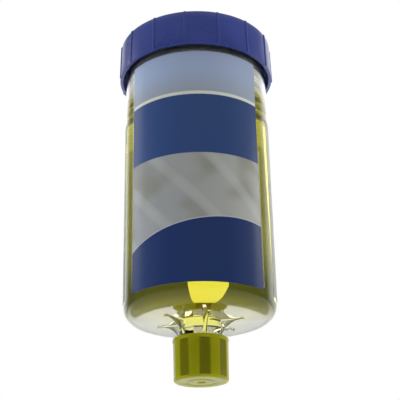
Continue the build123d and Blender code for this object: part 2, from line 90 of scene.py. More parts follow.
@dataclass
class NodeSheet:
    """The node tree of a material or a world, and the patterns that several finishes share."""

    tree: bpy.types.NodeTree

    def add(
        self, kind: str, inputs: Sequence | dict = (), output: int | str = 0, **settings: str | int
    ) -> Socket | None:
        """Add one node, set its properties and fill or link its inputs.

        Args:
            kind: The node's type name without its leading ShaderNode.
            inputs: Values or sockets in the order of the node's inputs, or keyed by input name or number.
            output: Which of its outputs to give.
            settings: Properties of the node itself.

        Returns:
            The output socket, or None for a node that has none.
        """
        node = self.tree.nodes.new(f"ShaderNode{kind}")
        for name, value in settings.items():
            setattr(node, name, value)
        for key, value in inputs.items() if isinstance(inputs, dict) else enumerate(inputs):
            if isinstance(value, Socket):
                self.tree.links.new(value, node.inputs[key])
            else:
                node.inputs[key].default_value = value
        return node.outputs[output] if node.outputs else None

    def patches(
        self, place: Socket, width_mm: float, detail: float = 2.0, stretch: Sequence[float] = (1.0, 1.0, 1.0)
    ) -> Socket:
        """Draw soft irregular patches.

        Args:
            place: Where the pattern is read, in metres.
            width_mm: About how wide the patches are.
            detail: How many finer layers lie over them.
            stretch: How much the pattern is squeezed along each axis.

        Returns:
            A level around one half.
        """
        squeezed = self.add("Mapping", {"Vector": place, "Scale": stretch})
        inputs = {"Vector": squeezed, "Scale": 1 / (width_mm * MM), "Detail": detail}
        return self.add("TexNoise", inputs, "Fac")

    def gradient(
        self, level: Socket, low: float, high: float, first: Colour | Socket, second: Colour | Socket
    ) -> Socket:
        """Pass smoothly from one colour to another.

        Args:
            level: What the change follows.
            low: The level up to which the first colour holds.
            high: The level from which the second colour holds.
            first: The colour, or its socket, at the low end.
            second: The colour, or its socket, at the high end.

        Returns:
            The colour.
        """
        share = self.add("MapRange", (level, low, high), **SMOOTH)
        return self.add("Mix", {0: share, 6: first, 7: second}, 2, data_type="RGBA")

    def rubbed_edges(self, radius_mm: float) -> Socket:
        """Find the outer edges that hands and tools rub.

        Args:
            radius_mm: How far the rubbing reaches from an edge.

        Returns:
            A mask, 1 on the edges and 0 elsewhere.
        """
        bevelled = self.add("Bevel", {"Radius": radius_mm * MM}, samples=4)
        flat = self.add("NewGeometry", output="Normal")
        likeness = self.add("VectorMath", (bevelled, flat), "Value", operation="DOT_PRODUCT")
        return self.add("MapRange", (likeness, 0.995, 0.9), **SMOOTH)

    def lamplight_through(self, surface: Socket, tint: Colour) -> Socket:
        """Let the lamps' light pass straight through a clear surface to what lies inside.

        Args:
            surface: The clear surface as everything else sees it.
            tint: The colour that the passing light takes.

        Returns:
            The surface with its straight way for light.
        """
        straight = self.add("BsdfTransparent", {"Color": tint})
        shadow = self.add("LightPath", output="Is Shadow Ray")
        return self.add("MixShader", (shadow, surface, straight))


# ------------------------------------------------------------------ finishes
@dataclass(frozen=True)
class Finish:
    """What all finishes share: a name, and shaders that go into a material of that name."""

    name: str

    def surface(self, sheet: NodeSheet) -> Socket:
        """Draw the surface, which each finish does in its own way.

        Args:
            sheet: The material's node sheet.

        Returns:
            The surface's shader.
        """
        raise NotImplementedError

    def ends(self, sheet: NodeSheet) -> dict[str, Socket]:
        """Give the shaders that go into the material's output, by name."""
        return {"Surface": self.surface(sheet)}

    def material(self) -> bpy.types.Material:
        """Build the material.

        Returns:
            The material.
        """
        material = bpy.data.materials.new(self.name)
        material.use_nodes = True
        material.node_tree.nodes.clear()
        sheet = NodeSheet(material.node_tree)
        sheet.add("OutputMaterial", self.ends(sheet))
        return material


@dataclass(frozen=True)
class MouldedPlastic(Finish):
    """Injection-moulded plastic: fine spark-eroded grain, slight tone drift, paler rubbed edges.

    Real spark-eroded grain is under 0.1 mm wide; it is drawn coarser here, so that it shows.
    """

    colour: str
    edge_colour: str
    roughness: float = 0.32
    grain_mm: float = 0.25
    grain_depth: float = 0.004
    glow_mm: float = 0.0
    drift: float = 0.06
    patch_mm: float = 9.0
    smear: float = 0.03
    edge_mm: float = 0.25
    rub_mm: float = 2.0
    rub: float = 0.55

    def surface(self, sheet: NodeSheet) -> Socket:
        """Draw the surface.

        Args:
            sheet: The material's node sheet.

        Returns:
            The surface's shader.
        """
        place = sheet.add("TexCoord", output="Object")
        base = linear(self.colour)
        deep, pale = shade(base, 1 - self.drift), shade(base, 1 + self.drift)
        body = sheet.gradient(sheet.patches(place, self.patch_mm, 3.0), 0.35, 0.65, deep, pale)
        rubs = sheet.add("MapRange", (sheet.patches(place, self.rub_mm), 0.3, 0.7), **SMOOTH)
        worn = sheet.add("Math", (sheet.rubbed_edges(self.edge_mm), rubs), operation="MULTIPLY")
        worn = sheet.add("Math", (worn, self.rub), operation="MULTIPLY")
        colour = sheet.add("Mix", {0: worn, 6: body, 7: linear(self.edge_colour)}, 2, data_type="RGBA")
        glossy, dull = self.roughness - self.smear, self.roughness + self.smear
        handled = sheet.patches(place, self.patch_mm)
        smears = sheet.add("MapRange", (handled, 0.3, 0.7, glossy, dull), **SMOOTH)
        grain = sheet.patches(place, self.grain_mm, 1.0)
        return sheet.add(
            "BsdfPrincipled",
            {
                "Base Color": colour,
                "Roughness": smears,
                "Normal": sheet.add("Bump", {"Height": grain, "Distance": self.grain_depth * MM}),
                "IOR": 1.49,
                "Subsurface Weight": 1.0 if self.glow_mm else 0.0,
                "Subsurface Radius": (1.0, 1.0, 0.8),
                "Subsurface Scale": self.glow_mm * MM,
            },
        )


@dataclass(frozen=True)
class ClearPlastic(Finish):
    """Clear moulded polyester: glassy, with faint flow waves from the mould."""

    tint: str = "#FBFBF8"
    ior: float = 1.49
    wave_mm: float = 7.0
    wave_depth: float = 0.004

    def surface(self, sheet: NodeSheet) -> Socket:
        """Draw the surface, which lets straight light through to what lies inside.

        Args:
            sheet: The material's node sheet.

        Returns:
            The surface's shader.
        """
        tint = linear(self.tint)
        waves = sheet.patches(sheet.add("TexCoord", output="Object"), self.wave_mm, 2.0, (1.0, 1.0, 0.5))
        surface = sheet.add(
            "BsdfPrincipled",
            {
                "Base Color": tint,
                "Roughness": 0.0,
                "IOR": self.ior,
                "Transmission Weight": 1.0,
                "Normal": sheet.add("Bump", {"Height": waves, "Distance": self.wave_depth * MM}),
            },
        )
        return sheet.lamplight_through(surface, tint)


@dataclass(frozen=True)
class Oil(Finish):
    """Golden lubricating oil: clear, and yellower the more of it the light crosses.

    Its face bends no light of its own, because the container's wetted face already takes that into account.
    """

    colour: str = "#FDF933"
    density: float = 60.0

    def surface(self, sheet: NodeSheet) -> Socket:
        """Draw the clear face.

        Args:
            sheet: The material's node sheet.

        Returns:
            The surface's shader.
        """
        face = {"Base Color": WHITE, "Roughness": 0.0, "IOR": 1.0, "Transmission Weight": 1.0}
        return sheet.lamplight_through(sheet.add("BsdfPrincipled", face), WHITE)

    def ends(self, sheet: NodeSheet) -> dict[str, Socket]:
        """Give the clear face and the absorbing volume that it surrounds.

        Args:
            sheet: The material's node sheet.

        Returns:
            The shaders by name.
        """
        volume = sheet.add("VolumeAbsorption", {"Color": linear(self.colour), "Density": self.density})
        return super().ends(sheet) | {"Volume": volume}


@dataclass(frozen=True)
class TranslucentPlastic(Finish):
    """Moulded polyethylene closure: waxy olive-yellow that glows where it is thin or lit from behind.

    Painted shade makes its flats a darker olive. The moulding's grain is drawn coarser than it is, so that it
    shows.
    """

    colour: str = "#B9BB12"
    deep_colour: str = "#AFAF10"
    # The darker olive of the painted shade on the flats.
    flat_colour: str = "#87860C"
    cloud_mm: float = 9.0
    grain_mm: float = 0.3
    grain_depth: float = 0.004
    glow_mm: float = 2.0
    roughness: float = 0.32
    specular: float = 0.25
    see_through: float = 0.3

    def surface(self, sheet: NodeSheet) -> Socket:
        """Draw the surface.

        Args:
            sheet: The material's node sheet.

        Returns:
            The surface's shader.
        """
        place = sheet.add("TexCoord", output="Object")
        cloud = sheet.patches(place, self.cloud_mm)
        colour = sheet.gradient(cloud, 0.3, 0.7, linear(self.deep_colour), linear(self.colour))
        # Painted shade: a darker olive laid on the flats, as far as each point lies on one.
        flat = sheet.add("Attribute", output="Fac", attribute_name="flat_share")
        colour = sheet.add("Mix", {0: flat, 6: colour, 7: linear(self.flat_colour)}, 2, data_type="RGBA")
        grain = sheet.patches(place, self.grain_mm)
        normal = sheet.add("Bump", {"Height": grain, "Distance": self.grain_depth * MM})
        surface = sheet.add(
            "BsdfPrincipled",
            {
                "Base Color": colour,
                "Roughness": self.roughness,
                "IOR": 1.5,
                "Specular IOR Level": self.specular,
                "Normal": normal,
                "Subsurface Weight": 1.0,
                "Subsurface Radius": (1.0, 0.95, 0.25),
                "Subsurface Scale": self.glow_mm * MM,
            },
        )
        through = sheet.add("BsdfTranslucent", {"Color": colour, "Normal": normal})
        return sheet.add("MixShader", (self.see_through, surface, through))


@dataclass(frozen=True)
class PrintedLabel(Finish):
    """Gloss-laminated film print: plain fields, thin pale rules and a soft ripple.

    Its places count across from the label's middle and up from its lower edge.
    """

    half_width: float = 23.4
    print_edge: float = 0.08
    ground: tuple[str, str] = ("#9BA0A5", "#A8A9A4")
    ground_fade: tuple[float, float] = (-22.0, 22.0)
    shadow: str = "#86887C"
    shadow_per_mm: float = 0.075
    ripple: str = "#C4C8C6"
    ripple_per_mm: float = 0.035
    band: tuple[str, str] = ("#2D4A84", "#2B4374")
    band_foot: float = 42.0
    blue_fade: tuple[float, float] = (-23.0, 23.0)
    rule: str = "#D6DACE"
    rule_foot: float = 62.8
    top: tuple[str, str] = ("#9DB0D2", "#9CAAC6")
    top_fade: tuple[float, float] = (-20.0, 22.0)
    top_grey: str = "#98A2B2"
    top_foot: float = 63.95
    top_rise: float = 9.0
    arc_field: tuple[str, str] = ("#1B356C", "#1B3162")
    arc_side: float = 12.8
    arc_top: float = 20.9
    arc_peak: float = 14.0
    arc_rule: str = "#B4BAC0"
    arc_rule_edge: tuple[float, float] = (0.45, 0.25)
    mottle_per_mm: float = 3.0
    film_per_mm: float = 0.12
    film_depth: float = 0.02
    back: str = "#C9CCD2"

    def middle(self, sheet: NodeSheet, place: Socket, across: Socket) -> Socket:
        """Print the middle field: a grey ground, soft shadows and broad pale ripples.

        Args:
            sheet: The material's node sheet.
            place: Where a point lies on the print.
            across: How far it lies from the label's middle.

        Returns:
            The field's colour.
        """
        grey = sheet.gradient(across, *self.ground_fade, *map(linear, self.ground))
        cloud = sheet.add("TexNoise", {"Vector": place, "Scale": self.shadow_per_mm, "Detail": 1.0}, "Fac")
        shadow = sheet.add("MapRange", (cloud, 0.42, 0.68, 0.0, 0.75), **SMOOTH)
        shaded = sheet.add("Mix", {0: shadow, 6: grey, 7: linear(self.shadow)}, 2, data_type="RGBA")
        wave = {"Vector": place, "Scale": self.ripple_per_mm, "Distortion": 5.0, "Detail": 1.0}
        ripple = sheet.add(
            "TexWave", wave | {"Detail Scale": 0.05}, "Fac", bands_direction="DIAGONAL", wave_profile="SIN"
        )
        light = sheet.add("MapRange", (ripple, 0.72, 1.0, 0.0, 0.28), **SMOOTH)
        return sheet.add("Mix", {0: light, 6: shaded, 7: linear(self.ripple)}, 2, data_type="RGBA")

    def over_arc(self, sheet: NodeSheet, across: Socket, up: Socket) -> Socket:
        """Measure how far a point lies above the lower field's smooth arc.

        Args:
            sheet: The material's node sheet.
            across: How far the point lies from the label's middle.
            up: How far it lies above the label's lower edge.

        Returns:
            The distance in millimetres, below 0 under the arc.
        """
        drop = (self.arc_top - self.arc_side) / (self.arc_peak + self.half_width) ** 2
        aside = sheet.add("Math", (across, self.arc_peak), operation="SUBTRACT")
        squared = sheet.add("Math", (aside, aside), operation="MULTIPLY")
        fall = sheet.add("Math", (squared, drop), operation="MULTIPLY")
        raised = sheet.add("Math", (up, fall), operation="ADD")
        return sheet.add("Math", (raised, self.arc_top), operation="SUBTRACT")

    def fields(self, sheet: NodeSheet, place: Socket) -> Socket:
        """Print all the fields: the middle one, what lies above it, and the one under the arc.

        Args:
            sheet: The material's node sheet.
            place: Where a point lies on the print.

        Returns:
            The print's colour.
        """
        across = sheet.add("SeparateXYZ", (place,), "X")
        up = sheet.add("SeparateXYZ", (place,), "Y")
        top = sheet.gradient(across, *self.top_fade, *map(linear, self.top))
        top = sheet.gradient(up, self.top_foot, self.top_foot + self.top_rise, linear(self.top_grey), top)
        band = sheet.gradient(across, *self.blue_fade, *map(linear, self.band))
        colour = self.middle(sheet, place, across)
        above = ((self.band_foot, band), (self.rule_foot, linear(self.rule)), (self.top_foot, top))
        for foot, field_colour in above:
            colour = sheet.gradient(up, foot - self.print_edge, foot + self.print_edge, colour, field_colour)
        over_arc = self.over_arc(sheet, across, up)
        colour = sheet.gradient(over_arc, *self.arc_rule_edge, colour, linear(self.arc_rule))
        blue = sheet.gradient(across, *self.blue_fade, *map(linear, self.arc_field))
        return sheet.gradient(over_arc, self.print_edge, -self.print_edge, colour, blue)

    def surface(self, sheet: NodeSheet) -> Socket:
        """Draw the print with its screen mottle, under a film laid on with faint waves.

        Args:
            sheet: The material's node sheet.

        Returns:
            The surface's shader, plain pale grey on the film's inner side.
        """
        place = sheet.add("UVMap", uv_map="print_mm")
        mottle = sheet.add("TexNoise", {"Vector": place, "Scale": self.mottle_per_mm, "Detail": 2.0}, "Fac")
        tone = sheet.add("MapRange", (mottle, 0.3, 0.7, 0.97, 1.03), **SMOOTH)
        toned = sheet.add("HueSaturation", {"Color": self.fields(sheet, place), "Value": tone})
        film = sheet.add("TexNoise", {"Vector": place, "Scale": self.film_per_mm, "Detail": 2.0}, "Fac")
        normal = sheet.add("Bump", {"Height": film, "Distance": self.film_depth * MM})
        surface = sheet.add(
            "BsdfPrincipled", {"Base Color": toned, "Roughness": 0.28, "IOR": 1.48, "Normal": normal}
        )
        back = sheet.add("BsdfDiffuse", {"Color": linear(self.back)})
        inner = sheet.add("NewGeometry", output="Backfacing")
        return sheet.add("MixShader", (inner, surface, back))


@dataclass(frozen=True)
class PlainLabel(Finish):
    """Pale satin film that lets light through, with painted shade that greys its inner side towards the
    label's foot.
    """

    colour: str = "#EEF1F4"
    deep_colour: str = "#E6EAEE"
    foot_colour: str = "#9BA49F"
    # Heights between which the painted shade on the inner side fades out.
    foot: tuple[float, float] = (9.0, 26.0)
    cloud_per_mm: float = 0.15
    film_per_mm: float = 0.12
    film_depth: float = 0.02
    see_through: float = 0.6

    def surface(self, sheet: NodeSheet) -> Socket:
        """Draw the surface.

        Args:
            sheet: The material's node sheet.

        Returns:
            The surface's shader.
        """
        place = sheet.add("UVMap", uv_map="print_mm")
        cloud = sheet.add("TexNoise", {"Vector": place, "Scale": self.cloud_per_mm, "Detail": 3.0}, "Fac")
        body = sheet.gradient(cloud, 0.3, 0.7, linear(self.deep_colour), linear(self.colour))
        # Painted shade: the inner side, seen through the oil, greys towards the label's foot.
        up = sheet.add("SeparateXYZ", (place,), "Y")
        foot_shade_share = sheet.add("MapRange", (up, *self.foot, 1.0, 0.0), **SMOOTH)
        inner = sheet.add("Attribute", output="Fac", attribute_name="inner_side")
        grey = sheet.add("Math", (foot_shade_share, inner), operation="MULTIPLY")
        colour = sheet.add("Mix", {0: grey, 6: body, 7: linear(self.foot_colour)}, 2, data_type="RGBA")
        film = sheet.add("TexNoise", {"Vector": place, "Scale": self.film_per_mm, "Detail": 2.0}, "Fac")
        normal = sheet.add("Bump", {"Height": film, "Distance": self.film_depth * MM})
        surface = sheet.add(
            "BsdfPrincipled", {"Base Color": colour, "Roughness": 0.35, "IOR": 1.48, "Normal": normal}
        )
        through = sheet.add("BsdfTranslucent", {"Color": colour})
        return sheet.add("MixShader", (self.see_through, surface, through))


@dataclass(frozen=True)
class Metal(Finish):
    """Rolled or plated metal: a little staining, and fine brushing.

    Real brushing is finer than this; it is drawn coarser, so that it shows.
    """

    colour: str
    roughness: float = 0.28
    brush_mm: float = 0.15
    brush_depth: float = 0.003
    stain_mm: float = 3.0
    stain: float = 0.8

    def surface(self, sheet: NodeSheet) -> Socket:
        """Draw the surface.

        Args:
            sheet: The material's node sheet.

        Returns:
            The surface's shader.
        """
        place = sheet.add("TexCoord", output="Object")
        brushed = sheet.patches(place, self.brush_mm, 2.0, (1.0, 0.1, 1.0))
        stains = sheet.patches(place, self.stain_mm, 3.0)
        base = linear(self.colour)
        glossy, dull = self.roughness - 0.08, self.roughness + 0.1
        return sheet.add(
            "BsdfPrincipled",
            {
                "Base Color": sheet.gradient(stains, 0.4, 0.7, base, shade(base, self.stain)),
                "Metallic": 1.0,
                "Roughness": sheet.add("MapRange", (brushed, 0.2, 0.8, glossy, dull), **SMOOTH),
                "Normal": sheet.add("Bump", {"Height": brushed, "Distance": self.brush_depth * MM}),
            },
        )


@dataclass(frozen=True)
class Rubber(Finish):
    """Moulded seal rubber: matt, finely mottled, with a dry sheen."""

    colour: str
    mottle_mm: float = 0.6
    mottle_depth: float = 0.01
    mottle: float = 0.85

    def surface(self, sheet: NodeSheet) -> Socket:
        """Draw the surface.

        Args:
            sheet: The material's node sheet.

        Returns:
            The surface's shader.
        """
        mottle = sheet.patches(sheet.add("TexCoord", output="Object"), self.mottle_mm, 3.0)
        base = linear(self.colour)
        return sheet.add(
            "BsdfPrincipled",
            {
                "Base Color": sheet.gradient(mottle, 0.3, 0.7, shade(base, self.mottle), base),
                "Roughness": 0.6,
                "Sheen Weight": 0.1,
                "Normal": sheet.add("Bump", {"Height": mottle, "Distance": self.mottle_depth * MM}),
            },
        )


@dataclass(frozen=True)
class StudioPaint(Finish):
    """Matt pale paint in broad, hardly visible patches."""

    colour: str = "#CFCFCC"
    pale_colour: str = "#D6D6D4"
    patch_mm: float = 30.0

    def surface(self, sheet: NodeSheet) -> Socket:
        """Draw the surface.

        Args:
            sheet: The material's node sheet.

        Returns:
            The surface's shader.
        """
        patch = sheet.patches(sheet.add("TexCoord", output="Object"), self.patch_mm, 3.0)
        colour = sheet.gradient(patch, 0.3, 0.7, linear(self.colour), linear(self.pale_colour))
        return sheet.add("BsdfPrincipled", {"Base Color": colour, "Roughness": 0.7})


class Slot(Enum):
    """The record's material slots."""

    BARREL = "clear_barrel"
    OIL = "oil"
    NATURAL = "natural_plastic"
    DARK = "dark_plastic"
    RUBBER = "seal_rubber"
    CELL = "cell_steel"
    BOARD = "board_laminate"
    CHIP = "chip_black"
    CONTACT = "contact_metal"
    BLUE = "blue_plastic"
    DIAL = "dial_plastic"
    CAP = "cap_plastic"
    FRONT_PRINT = "front_print"
    REAR_PRINT = "rear_print"


class Palette:
    """One material for each slot, made once and handed to the pieces."""

    def __init__(self) -> None:
        """Build every material."""
        finishes = {
            # A clear tube that bends what lies behind it and catches thin highlights.
            Slot.BARREL: ClearPlastic("clear_polyester_barrel"),
            # Yellow-green oil that deepens to gold where light crosses the whole barrel.
            Slot.OIL: Oil("golden_oil"),
            # Undyed polypropylene, milky white.
            Slot.NATURAL: MouldedPlastic("natural_polypropylene", "#DADBD4", "#E8E8E2", 0.35, glow_mm=0.6),
            # Satin mid grey, without sharp highlights.
            Slot.DARK: MouldedPlastic("grey_polypropylene", "#787B7D", "#868A8C", 0.38, 0.3),
            # Matt pale rings that hardly stand out from the piston.
            Slot.RUBBER: Rubber("pale_silicone_seal", "#C6C7C0"),
            # Bright plated cans with a faint brushed sheen.
            Slot.CELL: Metal("nickel_plated_steel", "#C9C7C0", 0.22),
            # Green solder mask over glass laminate, a little glossy.
            Slot.BOARD: MouldedPlastic("green_board_laminate", "#1F5B35", "#3E7A50", 0.3, 0.6, 0.01),
            # Black moulded epoxy, almost without gloss.
            Slot.CHIP: MouldedPlastic("black_chip_epoxy", "#1B1B1D", "#333336", 0.5, 0.12, 0.006),
            # Warm golden spring metal with blurred highlights.
            Slot.CONTACT: Metal("rolled_phosphor_bronze", "#C6A85A", 0.3),
            # Deep glossy blue with paler rubbed edges.
            Slot.BLUE: MouldedPlastic("blue_moulded_abs", "#303F8A", "#3B4A98", 0.3, 0.35, 0.003),
            # A light grey knob that stands out from the blue cover.
            Slot.DIAL: MouldedPlastic("pale_grey_moulded_abs", "#D2D4D6", "#E2E3E4", 0.35),
            # A waxy olive-yellow closure that seems to glow, with painted shade darkening its flats.
            Slot.CAP: TranslucentPlastic("olive_yellow_polyethylene"),
            # Blue and grey printed fields under a glossy laminate.
            Slot.FRONT_PRINT: PrintedLabel("laminated_front_film"),
            # A pale film that lets the light behind it through, with painted shade low on its inner side.
            Slot.REAR_PRINT: PlainLabel("pale_rear_film"),
        }
        self.materials = {slot: finish.material() for slot, finish in finishes.items()}
        # The same plastic where oil wets it: the two bend light almost alike, so the face all but vanishes.
        self.wet_wall = ClearPlastic("clear_polyester_wetted", ior=1.002, wave_depth=0.0).material()

    def dress(self, piece: bpy.types.Object, slot: Slot) -> None:
        """Give a piece one material for all its faces.

        Args:
            piece: The object to dress.
            slot: The slot whose material it gets.
        """
        piece.data.materials.clear()
        piece.data.materials.append(self.materials[slot])


# ------------------------------------------------------------------ mesh drafting
def linked(name: str, data: bpy.types.ID) -> bpy.types.Object:
    """Make an object and link it to the scene.

    Args:
        name: The object's name.
        data: Its mesh, lamp or camera.

    Returns:
        The object.
    """
    thing = bpy.data.objects.new(name, data)
    bpy.context.scene.collection.objects.link(thing)
    return thing


def smooth_between(mesh: bpy.types.Mesh, sharp_degrees: float) -> None:
    """Shade a mesh smooth between the edges that bend more than an angle."""
    mesh.shade_smooth()
    mesh.set_sharp_from_angle(angle=math.radians(sharp_degrees))


def on_circle(radius: float, angle: float, height: float) -> Vector:
    """The point at a radius and a height, with the angle in degrees from +X."""
    turn = math.radians(angle)
    return Vector((radius * math.cos(turn), radius * math.sin(turn), height))


def arc_points(centre: tuple[float, float], radius: float, start: float, end: float, count: int) -> Outline:
    """Points on an arc in the radius-height plane.

    Args:
        centre: The arc's centre as radius and height.
        radius: The arc's own radius.
        start: First angle in degrees, 0 pointing outward and 90 up.
        end: Last angle in degrees.
        count: How many points, both ends included.

    Returns:
        The points as radius and height.
    """
    turns = [math.radians(start + (end - start) * i / (count - 1)) for i in range(count)]
    return [(centre[0] + radius * math.cos(t), centre[1] + radius * math.sin(t)) for t in turns]


def smoothstep(value: float, low: float, high: float) -> float:
    """Rise smoothly from 0 at low to 1 at high."""
    share = min(1.0, max(0.0, (value - low) / (high - low)))
    return share * share * (3 - 2 * share)


@dataclass
class Draft:
    """Points and faces gathered in millimetres, then made into one object."""

    points: list[Vector] = field(default_factory=list)
    faces: list[tuple[int, ...]] = field(default_factory=list)

    def ring(self, points: Sequence[Vector]) -> list[int]:
        """Add a closed row of points.

        Args:
            points: The row's points in order.

        Returns:
            Their indices.
        """
        start = len(self.points)
        self.points.extend(points)
        return list(range(start, len(self.points)))

    def circle(self, radius: float, height: float, angles: Sequence[float]) -> list[int]:
        """Add a round row, with a point at each angle."""
        return self.ring([on_circle(radius, angle, height) for angle in angles])

    def bridge(self, first: list[int], second: list[int]) -> None:
        """Join two closed rows with quads, or a row and a single pole with triangles.

        Args:
            first: Indices of one row.
            second: Indices of the other row.
        """
        count = max(len(first), len(second))
        for i in range(count):
            j = (i + 1) % count
            if len(first) == 1:
                self.faces.append((first[0], second[j], second[i]))
            elif len(second) == 1:
                self.faces.append((first[i], first[j], second[0]))
            else:
                self.faces.append((first[i], first[j], second[j], second[i]))

    def loft(self, rows: list[list[int]], closed: bool = False) -> None:
        """Join each row to the next.

        Args:
            rows: The rows' indices in order.
            closed: Whether the last row joins the first too.
        """
        for first, second in zip(rows, rows[1:]):
            self.bridge(first, second)
        if closed:
            self.bridge(rows[-1], rows[0])

    def build(self, name: str, sharp_degrees: float | None = 30.0) -> bpy.types.Object:
        """Make the object, its normals outward and its faces smooth between sharp edges.

        Args:
            name: The object's name.
            sharp_degrees: Edges that bend more than this stay sharp, or None for all smooth.

        Returns:
            The object, linked to the scene.
        """
        mesh = bpy.data.meshes.new(name)
        mesh.from_pydata([p * MM for p in self.points], [], self.faces)
        work = bmesh.new()
        work.from_mesh(mesh)
        bmesh.ops.recalc_face_normals(work, faces=work.faces)
        work.to_mesh(mesh)
        work.free()
        if sharp_degrees is None:
            mesh.shade_smooth()
        else:
            smooth_between(mesh, sharp_degrees)
        return linked(name, mesh)


def revolve(
    name: str,
    profile: Outline,
    segments: int = 180,
    closed: bool = True,
    swell: Callable[[float, float, float], float] | None = None,
) -> bpy.types.Object:
    """Turn a profile about the vertical axis into a closed body.

    Args:
        name: The object's name.
        profile: Radius and height of each row; a radius of 0 is a pole.
        segments: Points around.
        closed: Whether the last row joins the first, as on a shell.
        swell: Gives an amount to add to the radius from the radius, angle and height.

    Returns:
        The object.
    """
    draft = Draft()
    rows = []
    angles = [360 * i / segments for i in range(segments)]
    for radius, height in profile:
        if radius == 0.0:
            rows.append(draft.ring([Vector((0, 0, height))]))
        elif swell:
            rows.append(draft.ring([on_circle(radius + swell(radius, a, height), a, height) for a in angles]))
        else:
            rows.append(draft.circle(radius, height, angles))
    draft.loft(rows, closed)
    return draft.build(name)


def bake(piece: bpy.types.Object) -> None:
    """Apply an object's modifiers to its mesh and drop them.

    Args:
        piece: The object.
    """
    graph = bpy.context.evaluated_depsgraph_get()
    mesh = bpy.data.meshes.new_from_object(piece.evaluated_get(graph))
    piece.modifiers.clear()
    piece.data = mesh


# ------------------------------------------------------------------ container and oil
@dataclass
class Reservoir:
    """The clear container with its threaded outlet and gusset fins, and the oil in it."""

    palette: Palette
    segments: int = 180
    edge: float = 0.2
    barrel_radius: float = 24.3
    wall: float = 1.3
    corner_radius: float = 4.5
    base_wall: float = 1.2
    base_sag: float = 0.1
    # Rows that divide the plain stretches of barrel, base and bore, so that no face grows long and narrow.
    barrel_rows: tuple[float, ...] = (14.0, 22.0, 34.0, 48.0, 62.0, 76.0, 86.0)
    base_rows: tuple[float, ...] = (7.8, 9.0, 10.5, 12.0, 13.5, 15.0, 16.5, 18.0)
    floor_rows: tuple[float, ...] = (17.5, 15.5, 13.5, 11.5, 9.5, 8.0, 7.0)
    bore_top_row: float = 92.0
    bore_rows: tuple[float, ...] = (66.0, 52.0, 38.0, 24.0, 14.0)
    oil_rows: tuple[float, ...] = (70.0, 55.0, 40.0, 25.0, 14.0)
    neck_length: float = 5.2
    neck_radius: float = 6.8
    neck_row: float = 1.5
    neck_fillet: float = 0.7
    neck_fillet_lift: float = 0.04
    thread_radius: float = 6.5785
    thread_length: float = 11.0
    thread_pitch: float = 1.337
    thread_depth: float = 0.856
    thread_chamfer: float = 0.9
    thread_runout: tuple[float, float] = (0.2, 1.2)
    thread_row: float = 0.12
    outlet_radius: float = 4.0
    outlet_row: float = -5.0
    funnel_depth: float = 2.0
    funnel_edge: float = 0.1
    seat_bottom: float = 90.9
    seat_step: float = 0.4
    seat_slope: float = 0.1
    bead: tuple[float, float] = (97.2, 98.7)
    bead_height: float = 0.3
    fin_count: int = 6
    fin_angle: float = -76.5
    fin_thickness: float = 1.2
    fin_foot: float = 0.5
    fin_foot_width: float = 0.2
    fin_tip_radius: float = 14.25
    fin_tip_height: float = 0.35
    fin_hollow: float = 1.5
    fin_edge: float = 0.16
    # How far the oil reaches into the plastic; below 0 it stays clear of it by that much.
    oil_overlap: float = -0.02
    oil_top: float = 82.5
    oil_edge: float = 0.3
    oil_middle: float = 12.0
    # The oil in the outlet stops short of its end, and its top reaches a little into the oil above.
    stem_short: float = 0.3
    stem_lap: float = 0.02
    stem_row: float = -2.0
    piston_travel: float = 70.0

    @property
    def rim(self) -> float:
        """The height of the container's rim."""
        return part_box("container")[1].z / MM

    @property
    def corner_centre(self) -> float:
        """The radius at which the base passes into its rounded corner."""
        return self.barrel_radius - self.corner_radius

    @property
    def mouth_radius(self) -> float:
        """The radius of the funnel's mouth in the floor."""
        return self.outlet_radius + self.funnel_depth

    def base_height(self, radius: float, lift: float = 0.0) -> float:
        """The height of the very slightly bulging base at a radius, plus a lift for its inner face."""
        return self.neck_length - self.base_sag * (1 - (radius / self.corner_centre) ** 2) + lift

    def outside(self) -> Outline:
        """Draw the outer profile from the outlet's end up to the rim.

        Returns:
            The profile as radius and height.
        """
        crest, end = self.thread_radius, -self.thread_length
        length = self.thread_length - self.thread_chamfer
        rows = round(length / self.thread_row)
        foot = self.base_height(self.neck_radius) - self.neck_fillet
        fillet = arc_points((self.neck_radius + self.neck_fillet, foot), self.neck_fillet, 165, 105, 4)
        seat = self.barrel_radius - self.seat_step
        low, high = self.bead
        bead = seat + self.bead_height
        points = [(crest - self.thread_chamfer, end)]
        points += [(crest, end + self.thread_chamfer + length * i / rows) for i in range(rows)]
        points += [(self.neck_radius - self.edge, 0.0), (self.neck_radius, self.edge)]
        points += [(self.neck_radius, self.neck_row), (self.neck_radius, foot)]
        points += [(radius, height + self.neck_fillet_lift) for radius, height in fillet]
        points += [(radius, self.base_height(radius)) for radius in self.base_rows]
        corner = (self.corner_centre, self.neck_length + self.corner_radius)
        points += arc_points(corner, self.corner_radius, -90, 0, 14)
        barrel_top = self.seat_bottom - self.seat_slope
        points += [(self.barrel_radius, height) for height in (*self.barrel_rows, barrel_top)]
        points += [(seat, self.seat_bottom), (seat, low), (bead, low + self.bead_height)]
        points += [(bead, high - self.bead_height), (seat, high), (seat, self.rim - self.edge)]
        return points + [(seat - self.edge, self.rim)]

    def floor(self, lap: float = 0.0) -> Outline:
        """Draw the inner profile from the barrel's foot over the floor into the funnel's mouth.

        Args:
            lap: How far the profile lies inside the plastic.

        Returns:
            The profile as radius and height.
        """
        inner = self.corner_radius - self.wall
        centre = (self.corner_centre, self.neck_length + self.base_wall + inner)
        points = arc_points(centre, inner + lap, 0, -90, 12)
        points += [(radius, self.base_height(radius, self.base_wall) - lap) for radius in self.floor_rows]
        mouth = self.base_height(self.mouth_radius, self.base_wall)
        return points + [(self.mouth_radius + lap, mouth - self.funnel_edge - lap)]

